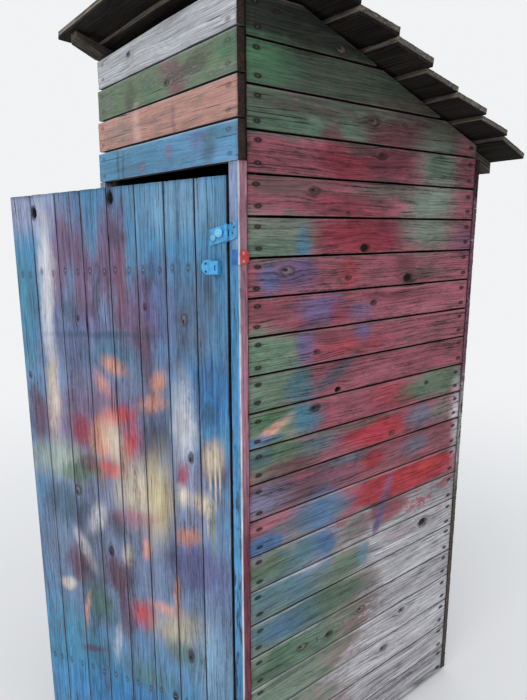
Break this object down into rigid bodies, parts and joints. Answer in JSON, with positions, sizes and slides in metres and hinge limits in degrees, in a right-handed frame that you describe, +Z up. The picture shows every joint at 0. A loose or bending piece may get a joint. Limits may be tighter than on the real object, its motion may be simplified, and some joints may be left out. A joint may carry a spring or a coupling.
{
  "type": "wooden outhouse",
  "caption": "Small lean-to privy of weathered horizontal boards with a lapped board roof and an outward-opening ledged door.",
  "frame": {"origin": "on the ground in the middle of the four walls, on the underside of the middle floor joist", "axes": "+Z up, the front wall and its door face -Y, +X to the right seen from the front"},
  "size_m": [0.9867, 1.4369, 2.3857],
  "materials": {
    "bare_wood": "weathered, bare",
    "sprayed_wall_boards": "weathered grey with patchy red, green and blue spray paint",
    "header_blue": "worn blue paint",
    "header_salmon": "worn salmon paint",
    "header_green": "worn green paint",
    "header_grey": "bare silver-grey",
    "strip_paint": "blue front, red side, worn",
    "roof_wood": "dark and lichened",
    "door_paint": "worn blue with sprayed clouds of other colours",
    "hinge_paint": "blue overpaint",
    "strap_paint": "red and blue overpaint"
  },
  "bodies": {
    "building": {"front_left_post": "bare_wood", "front_right_post": "bare_wood", "back_left_post": "bare_wood", "back_right_post": "bare_wood", "front_sill": "bare_wood", "middle_joist": "bare_wood", "back_sill": "bare_wood", "floor_boards": "bare_wood", "left_rafter": "bare_wood", "right_rafter": "bare_wood", "left_wall_boards": "sprayed_wall_boards", "right_wall_boards": "sprayed_wall_boards", "back_wall_boards": "sprayed_wall_boards", "header_board_1": "header_blue", "header_board_2": "header_salmon", "header_board_3": "header_green", "header_board_4": "header_grey", "left_jamb_strip": "strip_paint", "right_jamb_strip": "strip_paint", "roof_board_1": "roof_wood", "roof_board_2": "roof_wood", "roof_board_3": "roof_wood", "roof_board_4": "roof_wood", "roof_board_5": "roof_wood", "roof_board_6": "roof_wood", "roof_board_7": "roof_wood", "roof_board_8": "roof_wood", "roof_board_9": "roof_wood", "upper_hinge_strip_leaf": "hinge_paint", "lower_hinge_strip_leaf": "hinge_paint", "upper_hinge_pin": "hinge_paint", "lower_hinge_pin": "hinge_paint", "corner_strap": "strap_paint"},
    "door": {"door_boards": "door_paint", "door_upper_ledge": "bare_wood", "door_lower_ledge": "bare_wood", "upper_hinge_door_leaf": "hinge_paint", "lower_hinge_door_leaf": "hinge_paint", "latch_case": "hinge_paint"}
  },
  "joints": [
    {"name": "door_hinge", "type": "hinge", "parent": "building", "child": "door", "pos_m": [0.365, -0.503, 0], "axis": [0, 0, 1], "range_deg": [-27, 93]}
  ]
}
